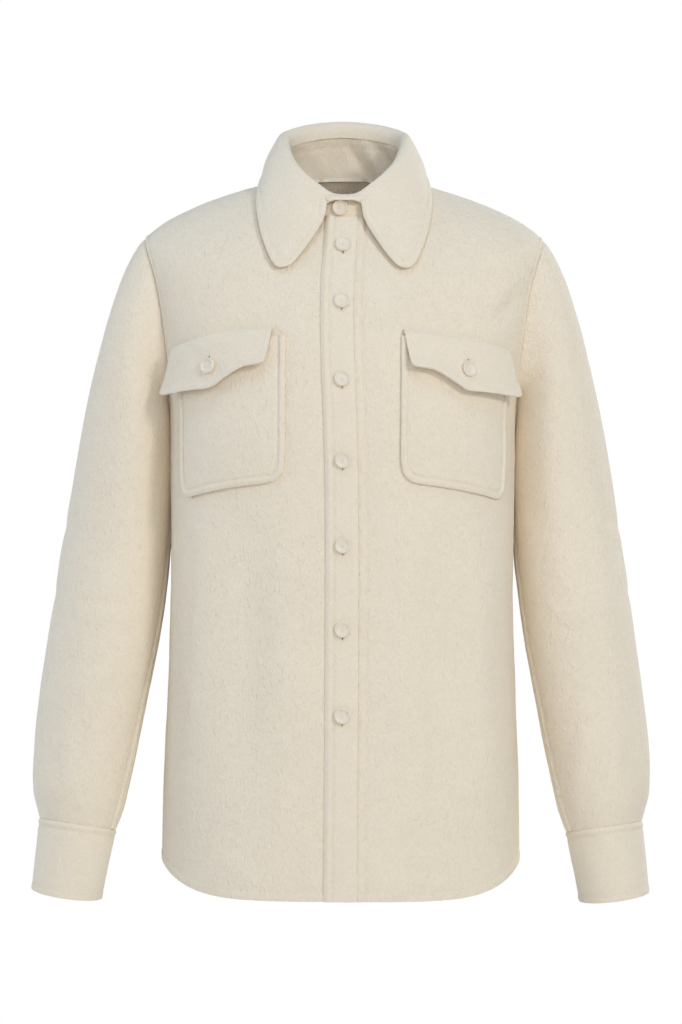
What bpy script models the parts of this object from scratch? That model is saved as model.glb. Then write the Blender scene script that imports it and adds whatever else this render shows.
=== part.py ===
"""A buttoned wool overshirt, filled out as if it were worn, with nothing inside it.

Metres, +Z up. The front faces -Y and +X is the wearer's left. The origin is the middle of
the neck, level with the shoulder seams. Sizes in the tables are millimetres.
"""
import functools
import math

import bmesh
import bpy
import numpy as np
from mathutils import Vector

MM = 0.001

# Cloth and sewing
CLOTH = 2.0 * MM
DOUBLE_CLOTH = 2.8 * MM
SEAM_GAP = 0.3 * MM
LAID_GAP = 0.8 * MM
CREAM = (0.72, 0.66, 0.54)

# Button band and buttons
BAND_LEFT = -17.5 * MM
BAND_RIGHT = 14.5 * MM
BAND_FACE = 1.5 * MM
BAND_UNDERSIDE = -1.1 * MM
UNDERLAP = 12.0 * MM
UNDERLAP_SINK = 1.6 * MM
UNDERLAP_RAMP = 26.0 * MM
BUTTON_RADIUS = 7.9 * MM
BUTTON_THICK = 3.4 * MM
BUTTON_SIDES = 14
BAND_BUTTONS = (-67.5, -123.0, -199.0, -277.0, -359.0, -440.0, -523.0)
BUTTON_SWAY = 0.35

# Pockets and flaps, measured across the cloth from the centre front and down from the neck.
# Their level lines droop toward the side as the cloth hangs. As worn, both flaps sit shifted
# toward the wearer's right, and the right one is raised.
DROOP = 24.0 * MM
DROOP_ACROSS = 190.0 * MM
POCKET_INNER = 56.0 * MM
POCKET_OUTER_TOP = 184.0 * MM
POCKET_OUTER_BOTTOM = 179.0 * MM
POCKET_TOP = -155.0 * MM
POCKET_BOTTOM = -296.0 * MM
POCKET_CORNER = 17.0 * MM
FLAP_INNER = 63.0 * MM
FLAP_OUTER = 179.0 * MM
FLAP_INNER_FLARE = 6.0 * MM
FLAP_OUTER_FLARE = 11.0 * MM
FLAP_TOP = -147.0 * MM
FLAP_SIDE = 38.0 * MM
FLAP_POINT = 54.0 * MM
FLAP_END = 43.0 * MM
FLAP_LEVEL = 0.62
FLAP_POINT_ACROSS = 115.0 * MM
FLAP_BUTTON_ACROSS = 121.0 * MM
FLAP_BUTTON_DOWN = 32.0 * MM
FLAP_SHIFT = 5.0 * MM
FLAP_RAISE = 3.5 * MM

# Sections of the body from the hem to the neck. z is at the centre front, the side and the
# centre back, and bow is how late the section leaves its centre height. half is half the
# width, side is how far back the widest line lies, front and back are the depths, square is
# the squareness of the section, sway is how far the button band stands off the centre.
BODY = {
    #                z_front z_side z_back  bow  half  side  front  back  square sway
    "hem":          (-702.0, -671.0, -702.0, 7.0, 179.0, 2.0, 124.0, 114.0, 2.50, 1.0),
    "hip":          (-590.0, -590.0, -590.0, 3.0, 177.5, 0.0, 125.0, 113.0, 2.50, 1.5),
    "waist":        (-440.0, -446.0, -440.0, 2.0, 171.5, -3.0, 123.0, 106.0, 2.45, 1.5),
    "ribs":         (-330.0, -350.0, -334.0, 2.0, 171.0, -3.0, 125.0, 105.0, 2.40, 1.0),
    "bust":         (-245.0, -272.0, -255.0, 2.0, 171.0, -3.0, 127.0, 109.0, 2.40, -1.0),
    "underarm":     (-190.0, -216.0, -190.0, 2.5, 172.5, 0.0, 120.0, 112.0, 2.35, -3.5),
    "armhole":      (-136.0, -108.0, -122.0, 3.0, 193.0, 2.0, 109.0, 112.0, 2.30, -5.0),
    "shoulder_tip": (-93.0, -53.0, -66.0, 2.5, 198.5, 4.0, 97.0, 102.0, 2.20, -4.0),
    "mid_shoulder": (-65.0, -17.5, -18.0, 2.0, 138.0, 4.0, 85.0, 84.0, 2.10, -2.0),
    "neck":         (-40.0, 3.0, 11.0, 2.0, 71.0, 4.0, 75.0, 61.0, 2.00, -1.0),
}
SECTION = list(BODY)
UNDERARM = SECTION.index("underarm")
SHOULDER_TIP = SECTION.index("shoulder_tip")
NECK = SECTION.index("neck")

# The armhole: how far it is cut into each panel, and how square its ends are
ARMHOLE_CUT = {"front": 44.0 * MM, "back": 46.0 * MM}
ARMHOLE_SQUARE = 0.85

# Sections of the sleeve below the armhole, for the wearer's left. turn is how far the seam
# under the arm has come round to the front, lean and swing are how far the sleeve is tilted
# outward and forward, in degrees.
SLEEVE = {
    #            z       across  depth  half_w  half_d  turn  lean  swing
    "biceps":  (-300.0, 221.2,  20.0,  49.4,  60.0,   4.0,  8.0,  -2.0),
    "above":   (-345.0, 224.8,  20.0,  53.0,  59.5,   7.0,  8.0,   1.0),
    "elbow":   (-390.0, 230.4,  17.0,  55.4,  58.5,  10.0,  8.0,   4.0),
    "forearm": (-465.0, 241.0,   8.0,  55.8,  57.0,  14.0,  8.5,   6.5),
    "full":    (-540.0, 253.0,  -2.0,  53.4,  55.0,  18.0,  9.0,   7.0),
    "gather":  (-600.0, 260.4, -10.0,  48.8,  51.5,  20.0,  8.5,   6.0),
    "tuck":    (-622.0, 261.6, -12.0,  43.0,  45.5,  20.0,  8.3,   5.5),
    "end":     (-634.0, 262.2, -13.0,  38.8,  41.0,  20.0,  8.3,   5.0),
}
CUFF = {
    "top":     (-634.0, 262.2, -13.0,  39.1,  41.3,  20.0,  8.3,   5.0),
    "middle":  (-668.0, 267.0, -16.0,  37.4,  39.8,  20.0,  8.3,   2.5),
    "bottom":  (-703.0, 271.6, -19.0,  35.8,  38.2,  20.0,  8.3,  -2.0),
}
SLEEVE_DROP = -4.0 * MM

# How the sleeve leaves the armhole, round from under the arm by the front: its direction
# outward, forward and up, how far it holds it, and how far it holds the direction below
SLEEVE_START = {
    #            outward forward   up   hold  hold_below
    "underarm": (0.28,   0.00,   0.96,  17.0,  34.0),
    "front":    (0.80,   0.18,  -0.57,  46.0,  80.0),
    "shoulder": (0.75,   0.00,  -0.66,  43.0,  74.0),
    "back":     (0.80,  -0.18,  -0.57,  46.0,  80.0),
}

# The collar, at stations from the centre front round to the centre back. run is the place round
# half the neck. The stand has a height and a lean inward, the leaf rolls over above it. The
# leaf's edge is a place on the panels: section, share of the way from the centre to the
# shoulder seam, how far it stands off, and how far above it the edge still is.
COLLAR = {
    #               run   height lean  roll  round  half   section share  off  above
    "meet":        (0.0012, 17.8, 2.6,  2.4,  2.4, "front", 9.00,  0.002, 5.0, 14.5),
    "lap":         (0.042, 17.6, 2.6,  2.4,  2.4, "front", 9.00,  0.112, 5.6, 11.0),
    "front":       (0.064, 17.8, 2.6,  2.6,  2.6, "front", 8.60,  0.150, 5.2, 0.0),
    "end":         (0.086, 18.5, 2.6,  3.0,  2.8, "front", 7.25,  0.190, 5.0, 0.0),
    "point":       (0.125, 21.0, 2.4,  4.0,  3.2, "front", 7.00,  0.232, 4.8, 0.0),
    "corner":      (0.18, 23.2,  2.4,  5.0,  3.6, "front", 7.08,  0.280, 4.6, 0.0),
    "side":        (0.29, 26.0,  3.8,  7.6,  4.2, "front", 7.80,  0.410, 4.4, 0.0),
    "fall":        (0.40, 29.0,  8.6, 10.4,  4.6, "front", 8.36,  0.575, 4.2, 0.0),
    "shoulder":    (0.52, 32.0, 12.8, 12.6,  4.9, "front", 8.735, 0.820, 4.0, 0.0),
    "ridge":       (0.64, 35.0, 12.2, 14.2,  5.2, "back",  8.83,  0.900, 4.0, 0.0),
    "behind":      (0.81, 39.0, 10.2, 15.4,  5.6, "back",  8.74,  0.500, 4.0, 0.0),
    "middle":      (1.00, 41.0,  9.0, 15.8,  5.8, "back",  8.68,  0.000, 4.0, 0.0),
}
STAND_OVERLAP = 20.0 * MM
STAND_BUTTON = -4.0 * MM

# Mesh fineness
RING_SAMPLES = 240
BODY_ROWS = 19
ARMHOLE_ROWS = 10
SHOULDER_ROWS = 5
FRONT_COLUMNS = 10
BACK_COLUMNS = 16
LEAF_COLUMNS = 25
STAND_COLUMNS = 60
SLEEVE_TOP_ROWS = 8
SLEEVE_ROWS = 13
NORMAL_STEP = 0.004


def read_table(column, level):
    """The column's value at a place between rows, by a smooth curve through the rows."""
    values = np.asarray(column, float)
    last = len(values) - 1
    low = int(min(max(math.floor(level), 0), last - 1))
    part = level - low
    step = values[low + 1] - values[low]
    slope_low = step if low == 0 else (values[low + 1] - values[low - 1]) / 2
    slope_high = step if low + 1 == last else (values[low + 2] - values[low]) / 2
    square, cube = part * part, part ** 3
    return ((2 * cube - 3 * square + 1) * values[low] + (cube - 2 * square + part) * slope_low
            + (3 * square - 2 * cube) * values[low + 1] + (cube - square) * slope_high)


def unit(vectors):
    """The vectors at length one."""
    return vectors / np.linalg.norm(vectors, axis=-1, keepdims=True)


def smooth_step(value):
    """From 0 to 1 with level ends."""
    value = np.clip(value, 0.0, 1.0)
    return value * value * (3 - 2 * value)


@functools.lru_cache(maxsize=None)
def ring(half, level):
    """One section of the body from its centre line to its side, and the length along it."""
    z_front, z_side, z_back, bow, width, side, front, back, square = [
        read_table(column, level) for column in list(zip(*BODY.values()))[:9]]
    z_centre, depth = (z_front, -front) if half == "front" else (z_back, back)
    spread = (1 - np.cos(np.linspace(0, math.pi, RING_SAMPLES))) / 2
    angle = spread * math.pi / 2
    across = np.sin(angle) ** (2 / square)
    x = width * across
    y = side + (depth - side) * np.cos(angle).clip(0, 1) ** (2 / square)
    z = z_centre + (z_side - z_centre) * across ** bow
    points = np.stack([x, y, z], axis=1) * MM
    length = np.concatenate([[0], np.cumsum(np.linalg.norm(np.diff(points, axis=0), axis=1))])
    return points, length


def ring_length(half, level):
    """The length of a section from the centre line to the side."""
    return ring(half, level)[1][-1]


def body_points(half, level, share):
    """Points at shares of the way from the centre line to the side; minus is past the centre."""
    points, length = ring(half, level)
    share = np.asarray(share, float)
    place = np.clip(np.abs(share), 0, 1) * length[-1]
    found = np.stack([np.interp(place, length, points[:, i]) for i in range(3)], axis=-1)
    found[..., 0] *= np.where(share < 0, -1, 1)
    return found


def body_frame(half, level, share):
    """Points on the body's face and the directions square to it."""
    share = np.asarray(share, float)
    across = body_points(half, level, np.minimum(share + NORMAL_STEP, 1)) \
        - body_points(half, level, share - NORMAL_STEP)
    low, high = max(level - NORMAL_STEP * 5, 0), min(level + NORMAL_STEP * 5, NECK)
    up = body_points(half, high, share) - body_points(half, low, share)
    outward = np.cross(across, up) if half == "front" else np.cross(up, across)
    return body_points(half, level, share), unit(outward)


def on_body(half, level, across, lift):
    """Points at distances across a section, moved off the face by a lift."""
    share = np.asarray(across, float) / ring_length(half, level)
    points, outward = body_frame(half, level, share)
    return points + outward * np.asarray(lift, float)[..., None]


def level_at(height):
    """The section whose centre front is at this height."""
    levels = np.linspace(0, NECK, 400)
    heights = [read_table([row[0] for row in BODY.values()], level) * MM for level in levels]
    return float(np.interp(height, heights, levels))


def armhole_cut(half, level):
    """How far in from the side the armhole is at a section."""
    part = (level - UNDERARM) / (SHOULDER_TIP - UNDERARM)
    if part <= 0 or part >= 1:
        return 0.0
    return ARMHOLE_CUT[half] * (4 * part * (1 - part)) ** (ARMHOLE_SQUARE / 2)


def armhole_levels():
    """Sections up the armhole, closer together at its two ends."""
    turn = np.linspace(0, math.pi, ARMHOLE_ROWS + 1)
    return UNDERARM + (SHOULDER_TIP - UNDERARM) * (1 - np.cos(turn)) / 2


@functools.lru_cache(maxsize=None)
def body_levels(out=0.0):
    """The sections of a panel's rows from the hem to the neck, at a share out to its edge."""
    hem = BODY["hem"][0] * MM
    underarm = BODY["underarm"][0] * MM
    below = [level_at(height) for height in np.linspace(hem, underarm, BODY_ROWS + 1)[:-1]]
    even = np.linspace(UNDERARM, SHOULDER_TIP, ARMHOLE_ROWS + 1)
    beside = even + (armhole_levels() - even) * out ** 2
    above = np.linspace(SHOULDER_TIP, NECK, SHOULDER_ROWS + 1)[1:]
    return [*below, *beside, *above]


def panel_edge(half, level):
    """How far across a panel reaches at a section."""
    return ring_length(half, level) - armhole_cut(half, level) - SEAM_GAP / 2


def cloth_material(name, colour, roughness):
    """A plain material of the piece's own."""
    material = bpy.data.materials.new(name)
    material.use_nodes = True
    shader = material.node_tree.nodes["Principled BSDF"]
    shader.inputs["Base Color"].default_value = (*colour, 1.0)
    shader.inputs["Roughness"].default_value = roughness
    shader.inputs["Metallic"].default_value = 0.0
    return material


def add_object(name, bm, colour=CREAM, roughness=0.95):
    """Put a finished mesh in the scene under its node's name."""
    bmesh.ops.recalc_face_normals(bm, faces=bm.faces[:])
    if bm.calc_volume(signed=True) < 0:
        bmesh.ops.reverse_faces(bm, faces=bm.faces[:])
    mesh = bpy.data.meshes.new(name)
    bm.to_mesh(mesh)
    bm.free()
    mesh.materials.append(cloth_material(name, colour, roughness))
    piece = bpy.data.objects.new(name, mesh)
    bpy.context.scene.collection.objects.link(piece)
    return piece


def add_wall(name, face, inside):
    """A cloth wall between two grids of points, the face and the inside."""
    rows, columns = face.shape[0] - 1, face.shape[1] - 1
    bm = bmesh.new()
    bmesh.ops.create_grid(bm, x_segments=columns, y_segments=rows, size=0.5)
    flat_face = set(bm.verts)
    bmesh.ops.extrude_face_region(bm, geom=bm.faces[:], use_keep_orig=True)
    for vert in bm.verts:
        column = round((vert.co.x + 0.5) * columns)
        row = round((vert.co.y + 0.5) * rows)
        grid = face if vert in flat_face else inside
        vert.co = Vector(grid[row, column])
    bmesh.ops.triangulate(bm, faces=bm.faces[:], quad_method="SHORT_EDGE")
    return add_object(name, bm)


def grid_normals(grid, side):
    """Directions square to a grid of points, outward for the side it is on."""
    along = np.gradient(grid, axis=0)
    across = np.gradient(grid, axis=1)
    return unit(np.cross(across, along)) * side


def panel_row(half, row, shares, start):
    """Sections and distances across a panel for one row, at shares from its start to its edge."""
    edge = panel_edge(half, body_levels(1.0)[row])
    return [body_levels(share)[row] for share in shares], start + (edge - start) * shares


def panel_points(half, levels, across, lift):
    """Points of one row, each at its own section, moved off the face by a lift."""
    return [on_body(half, level, np.array([place]), np.array([off]))[0]
            for level, place, off in zip(levels, across, lift)]


def band_sway(level):
    """How far the middle of the button band stands off the centre at a section."""
    return read_table([row[9] for row in BODY.values()], level) * MM


def add_front(name, side, start, sink):
    """A front panel from its centre edge to the side seam, armhole and shoulder seam."""
    face, inside = [], []
    shares = np.linspace(0, 1, FRONT_COLUMNS + 1)
    for row, level in enumerate(body_levels()):
        sway = band_sway(level) * side
        levels, across = panel_row("front", row, shares, start + sway)
        near = smooth_step((UNDERLAP_RAMP - BAND_LEFT + sway - across) / UNDERLAP_RAMP)
        lift = -sink * near
        face.append(panel_points("front", levels, across, lift))
        inside.append(panel_points("front", levels, across, lift - CLOTH))
    mirror = np.array([side, 1, 1])
    return add_wall(name, np.array(face) * mirror, np.array(inside) * mirror)


def add_back():
    """The whole back, from one side seam, armhole and shoulder seam to the other."""
    face, inside = [], []
    shares = np.linspace(-1, 1, BACK_COLUMNS + 1)
    for row in range(len(body_levels())):
        levels, across = panel_row("back", row, np.abs(shares), 0.0)
        across *= np.sign(shares)
        face.append(panel_points("back", levels, across, np.zeros(len(shares))))
        inside.append(panel_points("back", levels, across, np.full(len(shares), -CLOTH)))
    return add_wall("back", np.array(face), np.array(inside))


def add_band():
    """The button band, from the neck to the hem, over the right front's edge."""
    face, inside = [], []
    for level in body_levels():
        across = np.linspace(BAND_LEFT, BAND_RIGHT - SEAM_GAP, 4) + band_sway(level)
        face.append(on_body("front", level, across, np.full(len(across), BAND_FACE)))
        inside.append(on_body("front", level, across, np.full(len(across), BAND_UNDERSIDE)))
    return add_wall("placket", np.array(face), np.array(inside))


def armhole_loop():
    """The armhole of the wearer's left, from under the arm up the front and down the back."""
    levels = armhole_levels()
    stops = [("front", level) for level in levels]
    stops += [("back", level) for level in levels[-2::-1]]
    points, outward = [], []
    for half, level in stops:
        share = 1 - armhole_cut(half, level) / ring_length(half, level)
        point, normal = body_frame(half, level, share)
        points.append(point)
        outward.append(normal)
    points, outward = np.array(points), unit(np.array(outward))
    points[-1], outward[-1] = points[0], outward[0]
    before, after = np.roll(points[:-1], 1, axis=0), np.roll(points[:-1], -1, axis=0)
    into_hole = unit(np.cross(outward[:-1], after - before))
    middle = points[:-1].mean(axis=0)
    into_hole *= np.sign(np.sum(into_hole * (middle - points[:-1]), axis=1, keepdims=True))
    points = points + np.concatenate([into_hole, into_hole[:1]]) * SEAM_GAP * 1.5
    return points, outward


def tube_ring(table, level, columns):
    """A ring of points round a sleeve or cuff, and its centre line's direction there."""
    column = [read_table([row[i] for row in table.values()], level) for i in range(8)]
    z, x, y, half_w, half_d, turn, lean, swing = column
    centre = np.array([x, y, z]) * MM
    down = unit(np.array([math.tan(math.radians(lean)), -math.tan(math.radians(swing)), -1.0]))
    inward = unit(np.array([-1.0, 0, 0]) + down * down[0])
    forward = unit(np.array([0, -1.0, 0]) + down * down[1])
    angle = np.linspace(0, 2 * math.pi, columns + 1) + math.radians(turn)
    points = centre + np.outer(np.cos(angle) * half_w * MM, inward) \
        + np.outer(np.sin(angle) * half_d * MM, forward)
    return points, down


def open_seam(grid):
    """Draw a tube's two long edges apart by the seam gap."""
    apart = unit(grid[:, 1] - grid[:, 0]) * SEAM_GAP / 2
    grid[:, 0] += apart
    grid[:, -1] += unit(grid[:, -2] - grid[:, -1]) * SEAM_GAP / 2
    return grid


def tube_normals(grid):
    """Directions square to a tube, the same at both sides of its seam."""
    ringed = np.concatenate([grid[:, -2:-1], grid, grid[:, 1:2]], axis=1)
    along = np.gradient(grid, axis=0)
    across = ringed[:, 2:] - ringed[:, :-2]
    across[:, 0] = grid[:, 1] - grid[:, -2]
    across[:, -1] = across[:, 0]
    return unit(np.cross(along, across))


def sleeve_grid():
    """Rings of the wearer's left sleeve from the armhole to the cuff."""
    top, outward = armhole_loop()
    columns = len(top) - 1
    first, down = tube_ring(SLEEVE, 0, columns)
    starts = [*SLEEVE_START.values(), SLEEVE_START["underarm"]]
    share = np.linspace(0, len(starts) - 1, columns + 1)
    held = np.array([[read_table([row[i] for row in starts], place) for i in range(5)]
                     for place in share])
    leave = unit(held[:, :3] * [1, -1, 1]) * held[:, 3:4] * MM
    arrive = down * held[:, 4:5] * MM
    rows = []
    for part in np.linspace(0, 1, SLEEVE_TOP_ROWS + 1) ** 1.35:
        rest = 1 - part
        rows.append(rest ** 3 * top + 3 * rest ** 2 * part * (top + leave)
                    + 3 * rest * part ** 2 * (first - arrive) + part ** 3 * first)
    for level in np.linspace(0, len(SLEEVE) - 1, SLEEVE_ROWS + 1)[1:]:
        rows.append(tube_ring(SLEEVE, level, columns)[0])
    return np.array(rows), outward


def add_sleeve(name, side):
    """A one-piece sleeve closed by a seam under the arm."""
    face, outward = sleeve_grid()
    normals = tube_normals(face)
    normals[0] = outward
    normals[1] = unit(normals[1] + outward * 0.5)
    inside = face - normals * CLOTH
    place = np.array([0, 0, SLEEVE_DROP]) * smooth_step(
        (np.arange(len(face)) - 2) / 8)[:, None, None]
    mirror = np.array([side, 1, 1])
    return add_wall(name, open_seam((face + place) * mirror), open_seam((inside + place) * mirror))


def add_cuff(name, side):
    """A doubled cuff round the end of the sleeve."""
    columns = 2 * ARMHOLE_ROWS
    levels = np.linspace(0, len(CUFF) - 1, 5)
    face = np.array([tube_ring(CUFF, level, columns)[0] for level in levels])
    face[0] += unit(face[1] - face[0]) * SEAM_GAP
    inside = face - tube_normals(face) * DOUBLE_CLOTH
    drop = np.array([0, 0, SLEEVE_DROP])
    mirror = np.array([side, 1, 1])
    return add_wall(name, open_seam((face + drop) * mirror), open_seam((inside + drop) * mirror))


def neck_point(run):
    """The neck edge at a distance round it from the centre front, by the wearer's right."""
    front, back = ring_length("front", NECK), ring_length("back", NECK)
    whole = 2 * (front + back)
    place = run % whole
    side = -1 if place <= whole / 2 else 1
    place = min(place, whole - place)
    if place <= front:
        point = body_points("front", NECK, place / front)
    else:
        point = body_points("back", NECK, (front + back - place) / back)
    return point * np.array([side, 1, 1])


def collar_row(run):
    """The collar's sizes at a distance round the neck from the nearer front end."""
    half = ring_length("front", NECK) + ring_length("back", NECK)
    rows = list(COLLAR.values())
    place = np.clip(1 - abs(1 - (run / half) % 2), 0, 1)
    level = float(np.interp(place, [row[0] for row in rows], range(len(rows))))
    return [read_table([row[i] for row in rows], level) for i in range(1, 5)]


def inward_at(run):
    """Level direction from the neck edge toward the inside of the neck."""
    step = 1.0 * MM
    along = neck_point(run + step) - neck_point(run - step)
    return unit(np.array([along[1], -along[0], 0.0]))


def stand_point(run, up, sunk):
    """A point on the stand's face: up is 0 at the neck seam and 1 at the top."""
    height, lean = collar_row(run)[:2]
    rise = np.array([0, 0, height * MM * up + SEAM_GAP])
    return neck_point(run) + rise + inward_at(run) * (lean * MM * up + sunk)


def add_stand():
    """The collar stand, its wearer's left end lying over its right end."""
    whole = 2 * (ring_length("front", NECK) + ring_length("back", NECK))
    runs = np.linspace(-UNDERLAP, whole + STAND_OVERLAP, STAND_COLUMNS)
    face, inside = [], []
    for up in np.linspace(0, 1, 4):
        sunk = [(DOUBLE_CLOTH + 2 * SEAM_GAP) * smooth_step(1 - (run - STAND_OVERLAP) / (30 * MM))
                for run in runs]
        row = [stand_point(run, up, sink) for run, sink in zip(runs, sunk)]
        deep = [stand_point(run, up, sink + DOUBLE_CLOTH) for run, sink in zip(runs, sunk)]
        face.append(row)
        inside.append(deep)
    return add_wall("collar_stand", np.array(face), np.array(inside))


def leaf_section(run):
    """The leaf from the stand's top, over the roll and down to its edge."""
    half = ring_length("front", NECK) + ring_length("back", NECK)
    rows = list(COLLAR.values())
    share = 1 - abs(1 - run / half)
    level = float(np.interp(share, [row[0] for row in rows], range(len(rows))))
    roll, bend = collar_row(run)[2:4]
    side = -1 if run <= half else 1
    seam = stand_point(run, 1, DOUBLE_CLOTH / 2) + [0, 0, SEAM_GAP + 0.2 * MM]
    out = -inward_at(run)
    edges = []
    for row in rows:
        place = body_frame(row[5], row[6], np.array([row[7]]))
        edges.append((place[0] + place[1] * row[8] * MM)[0] + [0, 0, row[9] * MM])
    edge = np.array([read_table([e[i] for e in edges], level) for i in range(3)]) * [side, 1, 1]
    top = seam + np.array([0, 0, roll * MM]) + out * bend * MM
    inner = seam + np.array([0, 0, roll * 0.6 * MM]) + out * bend * 0.15 * MM
    outer = top + out * bend * MM * 0.9 + np.array([0, 0, -roll * 0.45 * MM])
    fall = (outer + edge) / 2 + (out + [0, 0, 0.5]) * 1.0 * MM
    return np.array([seam, inner, top, outer, fall, edge])


def add_leaf():
    """The turned-down collar leaf with its rounded points."""
    half = ring_length("front", NECK) + ring_length("back", NECK)
    stations = [row[0] * half for row in COLLAR.values()]
    runs = np.interp(np.linspace(0, len(stations) - 1, LEAF_COLUMNS), range(len(stations)), stations)
    runs = [*runs, *(2 * half - runs[-2::-1])]
    sections = [leaf_section(run) for run in runs]
    steps = np.linspace(0, 5, 11)
    face = np.array([[[read_table(section[:, i], step) for i in range(3)] for section in sections]
                     for step in steps])
    inside = face - grid_normals(face, -1) * DOUBLE_CLOTH
    return add_wall("collar_leaf", face, inside)


def on_front(across, heights, lift):
    """Points across the front at heights that droop to the side, moved off it by a lift."""
    levels = np.linspace(UNDERARM - 2, SHOULDER_TIP, 60)
    rings = [ring("front", level) for level in levels]
    points = []
    for place, height, off in zip(across, heights, lift):
        drooped = height - DROOP * (place / DROOP_ACROSS) ** 2
        seen = [np.interp(place, length, drawn[:, 2]) for drawn, length in rings]
        level = float(np.interp(drooped, seen, levels))
        points.append(on_body("front", level, np.array([place]), np.array([off]))[0])
    return np.array(points)


def add_pocket(name, side):
    """A patch pocket lying on the front, its lower corners rounded."""
    heights = [POCKET_TOP + (POCKET_BOTTOM - POCKET_TOP) * part for part in np.linspace(0, 1, 8)]
    heights[-1:] = [POCKET_BOTTOM + POCKET_CORNER * (1 - math.sin(turn))
                    for turn in np.linspace(0, math.pi / 2, 5)[1:]]
    face, inside = [], []
    for height in heights:
        above = min(height - POCKET_BOTTOM, POCKET_CORNER)
        trim = POCKET_CORNER - math.sqrt(max(POCKET_CORNER ** 2 - (POCKET_CORNER - above) ** 2, 0))
        part = (height - POCKET_TOP) / (POCKET_BOTTOM - POCKET_TOP)
        outer = POCKET_OUTER_TOP + (POCKET_OUTER_BOTTOM - POCKET_OUTER_TOP) * part
        across = np.linspace(POCKET_INNER + trim, outer - trim, 9)
        face.append(on_front(across, np.full(9, height), np.full(9, LAID_GAP + CLOTH)))
        inside.append(on_front(across, np.full(9, height), np.full(9, LAID_GAP)))
    mirror = np.array([side, 1, 1])
    return add_wall(name, np.array(face) * mirror, np.array(inside) * mirror)


def flap_length(across):
    """How far the flap hangs down at a distance across it."""
    inner = (FLAP_POINT_ACROSS - across) / (FLAP_POINT_ACROSS - FLAP_INNER)
    outer = (across - FLAP_POINT_ACROSS) / (FLAP_OUTER - FLAP_POINT_ACROSS)
    ogee = FLAP_SIDE + (FLAP_POINT - FLAP_SIDE) * np.clip(1 - inner / FLAP_LEVEL, 0, 1) ** 1.2
    return np.where(inner > 0, ogee, FLAP_POINT + (FLAP_END - FLAP_POINT) * outer)


def flap_lift(across, part):
    """How far the flap's underside stands off the front, part of the way down it."""
    share = (across - FLAP_INNER) / (FLAP_OUTER - FLAP_INNER)
    curl = 5.0 + 4.0 * (1 - share) ** 2 + 8.0 * share ** 3
    over_pocket = CLOTH + LAID_GAP
    return LAID_GAP + over_pocket * smooth_step(part / 0.16) + curl * MM * part ** 2


def flap_point(side, across, part, raised):
    """A point on the flap: part is 0 at its sewn edge and 1 at its free edge."""
    top = FLAP_TOP + (FLAP_RAISE if side < 0 else 0.0)
    heights = top - flap_length(across) * part
    share = (across - FLAP_INNER) / (FLAP_OUTER - FLAP_INNER)
    flare = FLAP_INNER_FLARE + (FLAP_OUTER_FLARE - FLAP_INNER_FLARE) * share
    flared = across - side * FLAP_SHIFT + flare * part
    points = on_front(flared, heights, flap_lift(across, part) + raised)
    return points * np.array([side, 1, 1])


def add_flap(name, side):
    """A doubled pocket flap with a blunt point, standing off the pocket at its free edge."""
    inner = np.linspace(FLAP_INNER, FLAP_POINT_ACROSS, 9)
    across = np.concatenate([inner, np.linspace(FLAP_POINT_ACROSS, FLAP_OUTER, 8)[1:]])
    parts = np.linspace(0, 1, 7)
    face = np.array([flap_point(side, across, part, DOUBLE_CLOTH) for part in parts])
    inside = np.array([flap_point(side, across, part, 0.0) for part in parts])
    return add_wall(name, face, inside)


def add_button(name, seat, outward):
    """A turned button with a raised rim, sewn flat on its seat."""
    profile = [(0.0, 0.0), (0.88, 0.0), (1.0, 0.5), (0.90, 1.0), (0.70, 0.74), (0.0, 0.66)]
    bm = bmesh.new()
    verts = [bm.verts.new((r * BUTTON_RADIUS, 0.0, h * BUTTON_THICK)) for r, h in profile]
    edges = [bm.edges.new(pair) for pair in zip(verts, verts[1:])]
    bmesh.ops.spin(bm, geom=verts + edges, cent=(0, 0, 0), axis=(0, 0, 1),
                   angle=2 * math.pi, steps=BUTTON_SIDES)
    bmesh.ops.remove_doubles(bm, verts=bm.verts[:], dist=0.01 * MM)
    piece = add_object(name, bm, CREAM, 0.45)
    piece.location = Vector(seat) + Vector(outward) * SEAM_GAP * 1.3
    piece.rotation_mode = "QUATERNION"
    piece.rotation_quaternion = Vector(outward).to_track_quat("Z", "Y")
    return piece


def add_buttons():
    """The buttons down the front, the first on the stand, and one on each flap."""
    half = ring_length("front", NECK) + ring_length("back", NECK)
    run = 2 * half - STAND_BUTTON
    along = stand_point(run + 4 * MM, 0.55, 0.0) - stand_point(run - 4 * MM, 0.55, 0.0)
    rise = stand_point(run, 0.8, 0.0) - stand_point(run, 0.2, 0.0)
    add_button("button_1", stand_point(run, 0.55, 0.0), unit(np.cross(rise, along)))
    for number, height in enumerate(BAND_BUTTONS, start=2):
        level = level_at(height * MM)
        across = np.array([band_sway(level) * BUTTON_SWAY])
        outward = body_frame("front", level, across / ring_length("front", level))[1][0]
        seat = on_body("front", level, across, np.array([BAND_FACE]))[0]
        add_button(f"button_{number}", seat, outward)
    for side, name in ((-1, "right"), (1, "left")):
        part = FLAP_BUTTON_DOWN / FLAP_POINT
        across = FLAP_BUTTON_ACROSS + np.array([-3.0, 0.0, 3.0]) * MM
        row = flap_point(side, across, part, DOUBLE_CLOTH)
        below = flap_point(side, across, part + 0.05, DOUBLE_CLOTH)
        outward = unit(np.cross(row[2] - row[0], row[1] - below[1])) * side
        add_button(f"button_flap_{name}", row[1], outward)


for old in list(bpy.data.objects):
    bpy.data.objects.remove(old)

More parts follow.
